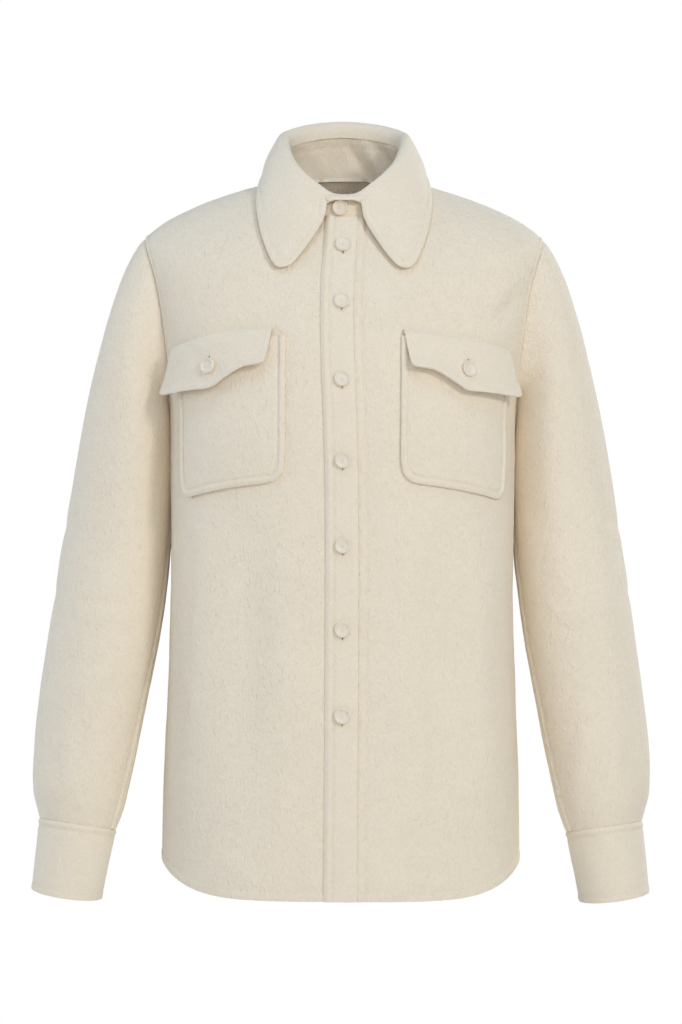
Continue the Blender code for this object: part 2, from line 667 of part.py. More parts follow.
add_front("front_right", -1, -UNDERLAP, UNDERLAP_SINK)
add_front("front_left", 1, BAND_RIGHT, 0.0)
add_back()
add_band()
add_stand()
add_leaf()
add_buttons()
for wearer_side, wearer_name in ((-1, "right"), (1, "left")):
    add_sleeve(f"sleeve_{wearer_name}", wearer_side)
    add_cuff(f"cuff_{wearer_name}", wearer_side)
    add_pocket(f"pocket_{wearer_name}", wearer_side)
    add_flap(f"flap_{wearer_name}", wearer_side)
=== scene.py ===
"""The look of a buttoned wool overshirt, filled out as when worn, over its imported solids."""
import math

import bmesh
import bpy
import numpy as np
from mathutils import Matrix, Vector, kdtree, noise
from mathutils.bvhtree import BVHTree


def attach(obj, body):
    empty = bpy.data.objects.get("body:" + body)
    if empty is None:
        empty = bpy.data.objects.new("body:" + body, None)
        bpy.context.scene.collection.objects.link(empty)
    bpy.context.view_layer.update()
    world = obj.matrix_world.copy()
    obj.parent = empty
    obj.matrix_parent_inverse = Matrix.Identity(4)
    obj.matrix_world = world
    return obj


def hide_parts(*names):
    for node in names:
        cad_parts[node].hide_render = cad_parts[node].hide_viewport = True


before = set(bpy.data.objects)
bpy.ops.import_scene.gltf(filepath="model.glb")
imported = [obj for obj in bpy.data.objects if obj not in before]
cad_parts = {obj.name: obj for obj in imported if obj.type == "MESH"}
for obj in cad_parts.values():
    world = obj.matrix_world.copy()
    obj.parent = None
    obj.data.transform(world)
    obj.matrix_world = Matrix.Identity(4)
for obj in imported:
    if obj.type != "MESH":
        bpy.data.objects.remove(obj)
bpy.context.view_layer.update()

# Back
# One piece of felted wool from the hem to the neck, cut without a yoke and joined to the fronts
# at the sides and shoulders. It hangs from the shoulder blades in a few broad, soft folds.
MM = 0.001
CLOTH = 2.0 * MM
BACK_FINE = 14.0 * MM
MERGE = 0.01 * MM
WALL_TURN = math.radians(60)
CORNER_TURN = math.radians(40)
EDGE_EASE = 0.5
FACE_EASE = 0.75
EDGE_STEP = 0.5 * MM
EVEN_ROUNDS = 3
OWN_WEIGHT = 2
SEAM_DIP = 0.6 * MM
SEAM_REACH = 2.8 * MM
SEAM_CLOSE = 0.16 * MM
SEAM_ROUND = 0.25 * MM
GROOVE = 1.5 * MM
WELT_FULLNESS = 0.6
HEM_WELT = 9.0 * MM
CREAM = (0.88, 0.79, 0.645)
FELT_WAVES = [
    # length and height in millimetres
    (75.0, 0.9), (28.0, 0.35), (12.0, 0.12),
]
FOLD_PIECES = 10
FOLD_TAPER = 0.7
FACING = {
    # the level axis of the chart that a fold is drawn on, and the way that side faces
    "front": (0, (0, -1, 0)),
    "back": (0, (0, 1, 0)),
    "left": (1, (1, 0, 0)),
    "right": (1, (-1, 0, 0)),
}
BACK_FOLDS = [
    # facing   start         bend          end           width  depth
    ("back", (-118, -150), (-96, -330), (-112, -520), 24.0, 5.6),
    ("back", (-70, -210), (-52, -400), (-66, -640), 20.0, -4.6),
    ("back", (-24, -300), (-14, -480), (-28, -690), 22.0, 4.4),
    ("back", (36, -250), (26, -430), (40, -670), 21.0, -4.2),
    ("back", (92, -170), (76, -340), (96, -560), 23.0, 5.2),
    ("back", (134, -330), (124, -450), (136, -660), 17.0, -3.6),
    ("back", (-150, -190), (-118, -205), (-84, -238), 10.0, -3.4),
    ("back", (148, -176), (112, -198), (80, -226), 10.0, -3.6),
    ("back", (-40, -432), (10, -446), (64, -434), 9.0, -2.0),
    ("back", (-96, -474), (-50, -486), (-8, -476), 8.0, -1.7),
    ("left", (0, -200), (2, -270), (0, -345), 22.0, 1.6),
    ("right", (0, -200), (2, -270), (0, -345), 22.0, 1.6),
]


def outer_sheet(node):
    """The outer face of a cloth wall, which is the larger of its two, as an open sheet."""
    bm = bmesh.new()
    bm.from_mesh(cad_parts[node].data)
    bmesh.ops.remove_doubles(bm, verts=bm.verts[:], dist=MERGE)
    turned = [edge for edge in bm.edges if edge.calc_face_angle(0.0) > WALL_TURN]
    bmesh.ops.split_edges(bm, edges=turned)
    left = set(bm.faces)
    patches = []
    while left:
        patch = []
        reached = [left.pop()]
        while reached:
            face = reached.pop()
            patch.append(face)
            beside = {other for edge in face.edges for other in edge.link_faces} & left
            left -= beside
            reached += beside
        patches.append(patch)
    outer = set(max(patches, key=lambda patch: sum(face.calc_area() for face in patch)))
    bmesh.ops.delete(bm, geom=[face for face in bm.faces if face not in outer], context="FACES")
    bmesh.ops.remove_doubles(bm, verts=bm.verts[:], dist=MERGE)
    return bm


def corners(bm, turn=CORNER_TURN):
    """The points where a sheet's edge turns sharply."""
    found = []
    for vert in bm.verts:
        edges = [edge for edge in vert.link_edges if edge.is_boundary]
        if len(edges) == 2:
            ways = [edge.other_vert(vert).co - vert.co for edge in edges]
            if math.pi - ways[0].angle(ways[1]) > turn:
                found.append(vert.co.to_tuple())
    return found


def corners_by(bm, count, *places):
    """The corners nearest some places in millimetres, a count of them at each."""
    found = corners(bm)
    chosen = []
    for place in places:
        nearest = sorted(found, key=lambda spot: (Vector(spot) / MM - Vector(place)).length)
        chosen += nearest[:count]
    return chosen


def relax(verts, on_edge, inside):
    """Ease points of a sheet toward the middle of those beside them, and along the edge on it."""
    moved = []
    for vert in verts:
        edges = [edge for edge in vert.link_edges if edge.is_boundary] or vert.link_edges
        middle = sum((edge.other_vert(vert).co for edge in edges), Vector()) / len(edges)
        moved.append((vert, vert.co.lerp(middle, on_edge if vert.is_boundary else inside)))
    for vert, place in moved:
        vert.co = place


def soften(bm, times, pinned):
    """Divide a sheet's faces and round it off, leaving its pinned corners where they are."""
    kept = set(pinned)
    for _ in range(times):
        bmesh.ops.subdivide_edges(bm, edges=bm.edges[:], cuts=1, use_grid_fill=True)
        relax([vert for vert in bm.verts if vert.co.to_tuple() not in kept], EDGE_EASE, FACE_EASE)


def edge_runs(bm, pinned):
    """The sheet's edge as runs of points from one pinned corner to the next."""
    kept = {vert for vert in bm.verts if vert.co.to_tuple() in set(pinned)}
    walked = set()
    runs = []
    for corner in [vert for vert in bm.verts if vert in kept]:
        for edge in [edge for edge in corner.link_edges if edge.is_boundary]:
            if edge in walked:
                continue
            run = [corner]
            while len(run) == 1 or run[-1] not in kept:
                walked.add(edge)
                run.append(edge.other_vert(run[-1]))
                onward = [other for other in run[-1].link_edges
                          if other.is_boundary and other not in walked]
                edge = onward[0] if onward else None
            runs.append([vert.co.copy() for vert in run])
    return runs


def run_near(runs, *place):
    """The run of edge whose middle is nearest a place in millimetres."""
    return min(runs, key=lambda run: (run[len(run) // 2] / MM - Vector(place)).length)


def line_lengths(line):
    """How far along a line of points each of them is."""
    return np.concatenate([[0], np.cumsum(np.linalg.norm(np.diff(line, axis=0), axis=1))])


def at_lengths(values, lengths, places):
    """Values given along a line, read at some places along it."""
    return np.stack([np.interp(places, lengths, values[:, i]) for i in range(3)], axis=1)


def even_points(line, step):
    """Points along a line of points, evenly spaced."""
    line = np.array(line)
    lengths = line_lengths(line)
    places = np.linspace(0, lengths[-1], max(int(lengths[-1] / step), 2) + 1)
    return at_lengths(line, lengths, places)


def away_from(points, *runs):
    """Distances from points to the nearest of some runs of edge."""
    edge = np.concatenate([even_points(run, EDGE_STEP) for run in runs])
    tree = kdtree.KDTree(len(edge))
    for number, place in enumerate(edge):
        tree.insert(place, number)
    tree.balance()
    return np.array([tree.find(point)[2] for point in points])


def finer_near(bm, reach, *runs):
    """Divide the faces close to some runs of edge once more."""
    far = away_from([vert.co for vert in bm.verts], *runs)
    close = {vert for vert, distance in zip(bm.verts, far) if distance < reach}
    edges = [edge for edge in bm.edges if all(vert in close for vert in edge.verts)]
    bmesh.ops.subdivide_edges(bm, edges=edges, cuts=1, use_grid_fill=True)


def surface_of(bm):
    """A sheet's points and the directions square to it."""
    bm.normal_update()
    return np.array([vert.co for vert in bm.verts]), np.array([vert.normal for vert in bm.verts])


def fold_lift(points, normals, folds):
    """How far soft folds raise or sink the cloth, each along a bent path seen from one side."""
    lift = np.zeros(len(points))
    share = np.linspace(0, 1, FOLD_PIECES + 1)[:, None]
    for facing, *places, width, depth in folds:
        axis, toward = FACING[facing]
        chart = points[:, [axis, 2]] / MM
        start, bend, end = (np.array(place, float) for place in places)
        path = (1 - share) ** 2 * start + 2 * share * (1 - share) * bend + share ** 2 * end
        nearest, along = np.full(len(points), np.inf), np.zeros(len(points))
        for number, (first, last) in enumerate(zip(path, path[1:])):
            way = last - first
            part = np.clip((chart - first) @ way / (way @ way), 0, 1)
            away = np.linalg.norm(chart - first - part[:, None] * way, axis=1)
            along = np.where(away < nearest, (number + part) / FOLD_PIECES, along)
            nearest = np.minimum(away, nearest)
        seen = np.sqrt(np.clip(normals @ np.array(toward), 0, 1))
        tapered = np.sin(math.pi * along) ** FOLD_TAPER
        lift += depth * MM * np.exp(-(nearest / width) ** 2) * tapered * seen
    return lift


def felt_lift(points):
    """The slow unevenness of thick felted cloth."""
    return sum(height * MM * np.array([noise.noise(point / (length * MM)) for point in points])
               for length, height in FELT_WAVES)


def seam_lift(points, *runs):
    """The dip where a sheet is turned in at its seams."""
    return -SEAM_DIP * np.exp(-(away_from(points, *runs) / SEAM_REACH) ** 2)


def welt_lift(points, run, width, rise, groove):
    """A soft raised welt along an edge, held down by a line of stitches."""
    away = away_from(points, run)
    raised = np.sin(math.pi * np.clip(away / width, 0, 1)) ** WELT_FULLNESS
    pressed = np.exp(-((away - width) / GROOVE) ** 2)
    return rise * raised - groove * pressed


def press(bm, lift, close=SEAM_CLOSE):
    """Move a sheet's points off it by a lift each, and its edge out to close the seams."""
    bm.normal_update()
    moved = []
    for vert, off in zip(bm.verts, lift):
        place = vert.co + vert.normal * float(off)
        if vert.is_boundary:
            within = [edge.other_vert(vert).co for edge in vert.link_edges if not edge.is_boundary]
            outward = sum((vert.co - spot for spot in within), Vector())
            place += outward.normalized() * close
        moved.append(place)
    for vert, place in zip(bm.verts, moved):
        vert.co = place


def even_normals(bm):
    """The directions off a sheet at its points, each evened with those beside it."""
    bm.normal_update()
    off = {vert: vert.normal.copy() for vert in bm.verts}
    for _ in range(EVEN_ROUNDS):
        beside = {vert: [off[edge.other_vert(vert)] for edge in vert.link_edges] for vert in off}
        off = {vert: sum(beside[vert], way * OWN_WEIGHT).normalized() for vert, way in off.items()}
    return off


def thicken(bm, thick, rounding):
    """Give a sheet its thickness, inward, and round its edges."""
    outer = bm.faces[:]
    edge_loops = [edge.link_loops[0] for edge in bm.edges if edge.is_boundary]
    ends = [(loop.vert, loop.link_loop_next.vert) for loop in edge_loops]
    under = {vert: bm.verts.new(vert.co - off * thick) for vert, off in even_normals(bm).items()}
    for face in outer:
        bm.faces.new([under[vert] for vert in reversed(face.verts)])
    for first, last in ends:
        bm.faces.new((last, first, under[first], under[last]))
    rim = [bm.edges.get(pair) for first, last in ends
           for pair in ((first, last), (under[first], under[last]))]
    bmesh.ops.bevel(bm, geom=rim, offset=rounding, offset_type="OFFSET", segments=2, profile=0.5,
                    affect="EDGES", material=-1, clamp_overlap=True)
    return bm


def node_group(name, inputs, outputs):
    """A group of shader nodes with its sockets, and the nodes at its two ends."""
    group = bpy.data.node_groups.new(name, "ShaderNodeTree")
    for way, sockets in (("INPUT", inputs), ("OUTPUT", outputs)):
        for title, kind in sockets.items():
            group.interface.new_socket(title, in_out=way, socket_type="NodeSocket" + kind)
    return group, group.nodes.new("NodeGroupInput"), group.nodes.new("NodeGroupOutput")


def nap_group():
    """Felted wool's nap: sparse raised slubs along the warp, a close grain, and a mottled tone."""
    group, given, put_out = node_group("wool_nap", {"Place": "Vector", "Tone": "Color", "Slub": "Float"},
                                       {"Colour": "Color", "Height": "Float"})
    nodes, links = group.nodes, group.links
    plain_tone = 0.845

    def patches(scale, detail, stretch):
        """Soft patches of a size, drawn out along the warp by a stretch below one."""
        drawn = nodes.new("ShaderNodeVectorMath")
        drawn.operation = "MULTIPLY"
        drawn.inputs[1].default_value = (1.0, 1.0, stretch)
        spots = nodes.new("ShaderNodeTexNoise")
        spots.inputs["Scale"].default_value = scale
        spots.inputs["Detail"].default_value = detail
        spots.inputs["Roughness"].default_value = 0.6
        links.new(given.outputs["Place"], drawn.inputs[0])
        links.new(drawn.outputs[0], spots.inputs["Vector"])
        return spots.outputs["Fac"]

    def combine(operation, first, second):
        """Two values put together."""
        node = nodes.new("ShaderNodeMath")
        node.operation = operation
        for socket, value in zip(node.inputs, (first, second)):
            if isinstance(value, float):
                socket.default_value = value
            else:
                links.new(value, socket)
        return node.outputs[0]

    def weighed(*parts):
        """Values added up, each times its weight."""
        total = 0.0
        for value, weight in parts:
            total = combine("ADD", combine("MULTIPLY", value, weight), total)
        return total

    fleck = nodes.new("ShaderNodeMapRange")
    fleck.interpolation_type = "SMOOTHSTEP"
    fleck.inputs["From Min"].default_value = 0.53
    fleck.inputs["From Max"].default_value = 0.72
    links.new(patches(scale=330.0, detail=2.0, stretch=0.45), fleck.inputs["Value"])
    slub = combine("MULTIPLY", fleck.outputs["Result"], given.outputs["Slub"])
    grain = patches(scale=480.0, detail=2.0, stretch=0.7)
    fibre = patches(scale=900.0, detail=3.0, stretch=1.0)
    felt = patches(scale=80.0, detail=3.0, stretch=0.7)
    mottle = patches(scale=9.0, detail=2.0, stretch=1.0)
    height = weighed((slub, 1.0), (grain, 1.5), (fibre, 0.3), (felt, 0.8))
    tone = weighed((slub, 0.03), (grain, 0.15), (fibre, 0.04), (felt, 0.05), (mottle, 0.06))
    shade = nodes.new("ShaderNodeHueSaturation")
    links.new(combine("ADD", tone, plain_tone), shade.inputs["Value"])
    links.new(given.outputs["Tone"], shade.inputs["Color"])
    links.new(shade.outputs["Color"], put_out.inputs["Colour"])
    links.new(height, put_out.inputs["Height"])
    return group


WOOL_NAP = nap_group()


def wool(name, tone, slub, raised):
    """A felted wool cloth with its own tone, slub and depth of nap."""
    material = bpy.data.materials.new(name)
    material.use_nodes = True
    nodes, links = material.node_tree.nodes, material.node_tree.links
    shader = nodes["Principled BSDF"]
    shader.inputs["Roughness"].default_value = 0.95
    shader.inputs["Specular IOR Level"].default_value = 0.15
    shader.inputs["Sheen Weight"].default_value = 0.12
    shader.inputs["Sheen Roughness"].default_value = 0.6
    place = nodes.new("ShaderNodeTexCoord")
    nap = nodes.new("ShaderNodeGroup")
    nap.node_tree = WOOL_NAP
    nap.inputs["Tone"].default_value = (*tone, 1.0)
    nap.inputs["Slub"].default_value = slub
    bump = nodes.new("ShaderNodeBump")
    bump.inputs["Strength"].default_value = 0.7
    bump.inputs["Distance"].default_value = raised
    links.new(place.outputs["Object"], nap.inputs["Place"])
    links.new(nap.outputs["Colour"], shader.inputs["Base Color"])
    links.new(nap.outputs["Height"], bump.inputs["Height"])
    links.new(bump.outputs["Normal"], shader.inputs["Normal"])
    return material


PANEL_WOOL = wool("cream_wool", CREAM, slub=1.0, raised=0.6 * MM)


def put_in_scene(name, bm, material, smooth=True):
    """A finished mesh as a piece of the shirt."""
    mesh = bpy.data.meshes.new(name)
    bm.to_mesh(mesh)
    bm.free()
    mesh.materials.append(material)
    if smooth:
        mesh.shade_smooth()
    piece = bpy.data.objects.new(name, mesh)
    bpy.context.scene.collection.objects.link(piece)
    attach(piece, "root")
    return piece


def sewn_in(node, bm, thick, material, rounding=SEAM_ROUND):
    """A cloth piece in place of its solid, with the size it was cut to."""
    piece = put_in_scene(node + "_cloth", thicken(bm, thick, rounding), material)
    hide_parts(node)


STITCH = 2.9 * MM
STITCH_PITCH = 3.6 * MM
THREAD = 0.27 * MM
THREAD_PROUD = 0.35 * THREAD
LINE_STEP = 1.0 * MM
INSET_KEPT = 0.88


def speckle_group():
    """Fine speckles between a dark and a light tone."""
    inputs = {"Place": "Vector", "Scale": "Float", "Detail": "Float", "Dark": "Color", "Light": "Color"}
    group, given, put_out = node_group("speckle", inputs, {"Colour": "Color"})
    nodes, links = group.nodes, group.links
    spots = nodes.new("ShaderNodeTexNoise")
    for title, socket in (("Place", "Vector"), ("Scale", "Scale"), ("Detail", "Detail")):
        links.new(given.outputs[title], spots.inputs[socket])
    blend = nodes.new("ShaderNodeMix")
    blend.data_type = "RGBA"
    dark, light = [socket for socket in blend.inputs if socket.type == "RGBA"]
    blended = next(socket for socket in blend.outputs if socket.type == "RGBA")
    links.new(spots.outputs["Fac"], blend.inputs["Factor"])
    links.new(given.outputs["Dark"], dark)
    links.new(given.outputs["Light"], light)
    links.new(blended, put_out.inputs["Colour"])
    return group


SPECKLE = speckle_group()


def speckled(name, roughness, scale, detail, dark, light):
    """A finish of its own roughness, speckled between two tones."""
    material = bpy.data.materials.new(name)
    material.use_nodes = True
    nodes, links = material.node_tree.nodes, material.node_tree.links
    shader = nodes["Principled BSDF"]
    shader.inputs["Roughness"].default_value = roughness
    place = nodes.new("ShaderNodeTexCoord")
    speckle = nodes.new("ShaderNodeGroup")
    speckle.node_tree = SPECKLE
    speckle.inputs["Scale"].default_value = scale
    speckle.inputs["Detail"].default_value = detail
    speckle.inputs["Dark"].default_value = (*dark, 1.0)
    speckle.inputs["Light"].default_value = (*light, 1.0)
    links.new(place.outputs["Object"], speckle.inputs["Place"])
    links.new(speckle.outputs["Colour"], shader.inputs["Base Color"])
    return material


SEWING_THREAD = speckled("thread", roughness=0.7, scale=1500.0, detail=2.0,
                         dark=(0.82, 0.735, 0.60), light=(0.92, 0.835, 0.70))


def stitch_line(bm, run, inset):
    """A line on a sheet at a distance in from a run of its edge, and the directions off it."""
    surface = BVHTree.FromBMesh(bm)
    edge = even_points(run, LINE_STEP)
    along = np.gradient(edge, axis=0)
    off = [surface.find_nearest(place)[1] for place in edge]
    inward = [square.cross(Vector(way)).normalized() for square, way in zip(off, along)]

    def landed(side):
        """Where the edge's points land on the sheet when moved to a side."""
        moved = [Vector(place) + way * inset * side for place, way in zip(edge, inward)]
        found = [surface.find_nearest(place)[:2] for place in moved]
        missed = sum((place - spot).length for place, (spot, _) in zip(moved, found))
        return missed, found

    found = min((landed(1), landed(-1)), key=lambda tried: tried[0])[1]
    far = away_from([spot for spot, _ in found], run) > inset * INSET_KEPT
    return [pair for pair, keep in zip(found, far) if keep]


def lay_stitch(bm, spot, half_long, half_wide, off):
    """One plump stitch lying on the cloth."""
    stance = Matrix((half_long, half_wide, off * THREAD)).transposed().to_4x4()
    bmesh.ops.create_uvsphere(bm, u_segments=6, v_segments=4, radius=1.0,
                              matrix=Matrix.Translation(spot) @ stance)


def sew(name, *lines):
    """Stitches along lines on the cloth, as one piece of thread work."""
    bm = bmesh.new()
    for line in lines:
        spots = np.array([spot for spot, _ in line])
        outward = np.array([off for _, off in line])
        lengths = line_lengths(spots)
        middles = np.arange(STITCH_PITCH / 2, lengths[-1] - STITCH_PITCH / 2, STITCH_PITCH)
        ends = [at_lengths(spots, lengths, middles + half) for half in (-STITCH / 2, STITCH / 2)]
        centres = at_lengths(spots, lengths, middles)
        for spot, off, way in zip(centres, at_lengths(outward, lengths, middles), ends[1] - ends[0]):
            off, ahead = Vector(off), Vector(way).normalized()
            lay_stitch(bm, Vector(spot) + off * THREAD_PROUD, ahead * STITCH / 2,
                       off.cross(ahead) * THREAD, off)
    piece = put_in_scene(name, bm, SEWING_THREAD)


back = outer_sheet("back")
back_corners = corners(back)
soften(back, times=2, pinned=back_corners)
back_runs = edge_runs(back, back_corners)
back_hem = run_near(back_runs, 0, 114, -702)
back_seams = [run for run in back_runs if run is not back_hem]
finer_near(back, BACK_FINE, *back_runs)
points, normals = surface_of(back)
press(back, fold_lift(points, normals, BACK_FOLDS) + felt_lift(points) + seam_lift(points, *back_seams)
      + welt_lift(points, back_hem, HEM_WELT, rise=0.35 * MM, groove=0.5 * MM))
sew("back_hem_thread", stitch_line(back, back_hem, HEM_WELT))
sewn_in("back", back, CLOTH, PANEL_WOOL)

# Fronts
# Two felted wool panels. The wearer's left front ends at the seam of the button band and has a
# pressed welt along it; the right front runs on under the band. Soft folds hang from the chest.
WORN = {-1: "right", 1: "left"}
FRONT_FINE = 12.0 * MM
ARMHOLE_WELT = 5.0 * MM
BAND_WELT = 8.0 * MM
FRONT_FOLDS = [
    # facing    start         bend          end          width  depth
    ("front", (146, -142), (164, -128), (176, -108), 8.0, -2.6),
    ("front", (138, -128), (156, -112), (170, -96), 8.0, 1.8),
    ("front", (100, -330), (92, -450), (98, -610), 18.0, -4.2),
    ("front", (62, -320), (58, -450), (66, -640), 20.0, 3.4),
    ("front", (140, -340), (136, -470), (142, -640), 15.0, 3.2),
    ("front", (-96, -310), (-88, -420), (-94, -610), 18.0, -4.0),
    ("front", (-140, -310), (-138, -400), (-144, -570), 17.0, 3.8),
    ("front", (-54, -320), (-52, -470), (-60, -650), 18.0, 2.8),
    ("front", (-164, -150), (-150, -176), (-128, -196), 9.0, -1.4),
    ("front", (-120, -660), (-96, -676), (-70, -690), 9.0, 1.2),
    ("front", (60, -682), (92, -676), (128, -664), 9.0, -1.2),
    ("left", (0, -200), (2, -270), (0, -345), 22.0, 1.6),
    ("right", (0, -200), (2, -270), (0, -345), 22.0, 1.6),
]


def dress_front(side):
    """One front panel, worn side 1 for the wearer's left and -1 for the right."""
    node = "front_" + WORN[side]
    panel = outer_sheet(node)
    pinned = corners(panel)
    soften(panel, times=3, pinned=pinned)
    runs = edge_runs(panel, pinned)
    hem = run_near(runs, 90 * side, -118, -700)
    armhole = run_near(runs, 170 * side, -50, -120)
    centre = run_near(runs, 10 * side, -123, -380)
    seams = [run for run in runs if run is not hem and run is not centre]
    finer_near(panel, FRONT_FINE, hem, armhole, centre)
    points, normals = surface_of(panel)
    lift = fold_lift(points, normals, FRONT_FOLDS) + felt_lift(points) + seam_lift(points, *seams)
    lift += welt_lift(points, hem, HEM_WELT, rise=0.4 * MM, groove=0.5 * MM)
    lift += welt_lift(points, armhole, ARMHOLE_WELT, rise=0.6 * MM, groove=0.6 * MM)
    sewn = [(hem, HEM_WELT), (armhole, ARMHOLE_WELT)]
    if side > 0:
        lift += welt_lift(points, centre, BAND_WELT, rise=1.1 * MM, groove=0.9 * MM)
        sewn.append((centre, BAND_WELT))
    press(panel, lift)
    sew(node + "_thread", *(stitch_line(panel, run, inset) for run, inset in sewn))
    sewn_in(node, panel, CLOTH, PANEL_WOOL)


for side in WORN:
    dress_front(side)

# Button band
# A folded strip of the same wool sewn down the edge of the left front, doubled and pressed, so
# its nap lies flatter. Its free edge is topstitched, and it lies over the right front.
BAND_THICK = 2.6 * MM
BAND_FINE = 10.0 * MM
BAND_STITCH = 8.0 * MM
BAND_TURN = 2.8
FREE_ROUND = 0.75 * MM
PRESSED_WOOL = wool("pressed_wool", CREAM, slub=0.4, raised=0.5 * MM)

band = outer_sheet("placket")
band_corners = corners(band)
soften(band, times=3, pinned=band_corners)
band_runs = edge_runs(band, band_corners)
band_free = run_near(band_runs, -17, -125, -370)
band_sewn = run_near(band_runs, 18, -125, -370)
finer_near(band, BAND_FINE, band_free, band_sewn)
points, normals = surface_of(band)
press(band, fold_lift(points, normals, FRONT_FOLDS) + felt_lift(points)
      + seam_lift(points, band_sewn) + BAND_TURN * seam_lift(points, band_free)
      + welt_lift(points, band_free, BAND_STITCH, rise=1.0 * MM, groove=0.8 * MM))
BAND_SURFACE = BVHTree.FromBMesh(band)
sew("placket_thread", stitch_line(band, band_free, BAND_STITCH))
sewn_in("placket", band, BAND_THICK, PRESSED_WOOL, rounding=FREE_ROUND)

# Sleeves
# One piece of felted wool each, closed by a felled seam under the arm, set into the armhole and
# eased into the cuff. The cloth bags softly at the elbow and above the cuff.
SLEEVE_WELT = 6.0 * MM
OTHER_LONGER = 1.02
OTHER_HIGHER = 4.0
OTHER_WIDER = 1.08
OTHER_FLATTER = 0.9
SLEEVE_FOLDS = [
    # facing    start         bend          end          width  depth
    ("front", (196, -200), (204, -300), (212, -400), 12.0, 2.0),
    ("front", (226, -170), (238, -290), (246, -420), 14.0, -1.8),
    ("front", (208, -420), (236, -410), (262, -416), 5.0, -1.9),
    ("front", (206, -430), (238, -422), (266, -430), 5.0, 1.5),
    ("front", (206, -446), (224, -440), (248, -446), 3.5, -1.0),
    ("front", (220, -478), (244, -470), (276, -474), 4.5, -1.5),
    ("front", (214, -505), (230, -500), (250, -506), 3.5, -1.2),
    ("front", (236, -540), (256, -532), (284, -538), 5.5, -1.4),
    ("front", (228, -590), (240, -560), (246, -520), 9.0, 1.6),
    ("front", (262, -600), (270, -566), (272, -520), 9.0, 1.4),
    ("front", (284, -590), (288, -560), (286, -520), 8.0, -1.2),
    ("back", (190, -240), (206, -330), (214, -420), 13.0, 2.2),
    ("back", (224, -180), (236, -290), (248, -400), 14.0, -2.0),
    ("back", (196, -372), (226, -352), (262, -366), 7.0, -1.8),
    ("back", (194, -392), (228, -376), (266, -392), 7.0, 1.6),
    ("back", (200, -412), (226, -400), (256, -410), 6.0, -1.2),
    ("back", (236, -600), (246, -560), (250, -510), 9.0, 1.6),
    ("back", (266, -600), (272, -560), (274, -510), 9.0, -1.4),
    ("left", (-20, -330), (2, -346), (30, -338), 8.0, -1.2),
    ("left", (-24, -400), (6, -412), (36, -402), 8.0, -1.2),
    ("left", (10, -180), (14, -290), (8, -420), 15.0, 1.6),
    ("right", (18, -190), (20, -270), (16, -360), 26.0, 4.2),
]


def mirrored(folds):
    """Folds for the other side of the wearer, a little longer, wider and flatter so they differ."""
    across = {"left": "right", "right": "left"}
    rows = []
    for facing, *places, width, depth in folds:
        flip = 1 if facing in across else -1
        turned = [(flip * x, z * OTHER_LONGER + OTHER_HIGHER) for x, z in places]
        rows.append((across.get(facing, facing), *turned, width * OTHER_WIDER, depth * OTHER_FLATTER))
    return rows


def dress_sleeve(side):
    """One sleeve, worn side 1 for the wearer's left and -1 for the right."""
    node = "sleeve_" + WORN[side]
    sleeve = outer_sheet(node)
    pinned = corners_by(sleeve, 2, (171 * side, 0, -215), (226 * side, -27, -642))
    soften(sleeve, times=3, pinned=pinned)
    runs = edge_runs(sleeve, pinned)
    long_seams = sorted(runs, key=lambda run: abs(run[0].z - run[-1].z))[-2:]
    front_seam = min(long_seams, key=lambda run: run[len(run) // 2].y)
    wrist = min(runs, key=lambda run: run[len(run) // 2].z)
    sewn = [run for run in runs if run is not wrist]
    points, normals = surface_of(sleeve)
    folds = SLEEVE_FOLDS if side > 0 else mirrored(SLEEVE_FOLDS)
    press(sleeve, fold_lift(points, normals, folds) + felt_lift(points) + seam_lift(points, *sewn)
          + welt_lift(points, front_seam, SLEEVE_WELT, rise=1.9 * MM, groove=1.1 * MM))
    sew(node + "_thread", stitch_line(sleeve, front_seam, SLEEVE_WELT))
    sewn_in(node, sleeve, CLOTH, PANEL_WOOL)


for side in WORN:
    dress_sleeve(side)

# Cuffs
# A doubled band of wool round the end of each sleeve, topstitched just below the sleeve seam
# and again above its lower edge.
CUFF_THICK = 2.8 * MM
CUFF_FINE = 10.0 * MM
CUFF_STITCH = 6.5 * MM
CUFF_TURN = 1.6


def dress_cuff(side):
    """One cuff, worn side 1 for the wearer's left and -1 for the right."""
    node = "cuff_" + WORN[side]
    cuff = outer_sheet(node)
    pinned = corners(cuff)
    soften(cuff, times=2, pinned=pinned)
    runs = edge_runs(cuff, pinned)
    level = sorted(runs, key=lambda run: abs(run[0].z - run[-1].z))
    lower, upper = sorted(level[:2], key=lambda run: run[0].z)
    finer_near(cuff, CUFF_FINE, lower, upper)
    points, _ = surface_of(cuff)
    press(cuff, felt_lift(points) + CUFF_TURN * seam_lift(points, upper) + seam_lift(points, *level[2:])
          + welt_lift(points, upper, CUFF_STITCH, rise=0.9 * MM, groove=0.8 * MM)
          + welt_lift(points, lower, CUFF_STITCH, rise=0.4 * MM, groove=0.4 * MM))
    sew(node + "_thread", stitch_line(cuff, upper, CUFF_STITCH), stitch_line(cuff, lower, CUFF_STITCH))
    sewn_in(node, cuff, CUFF_THICK, PRESSED_WOOL)


for side in WORN:
    dress_cuff(side)

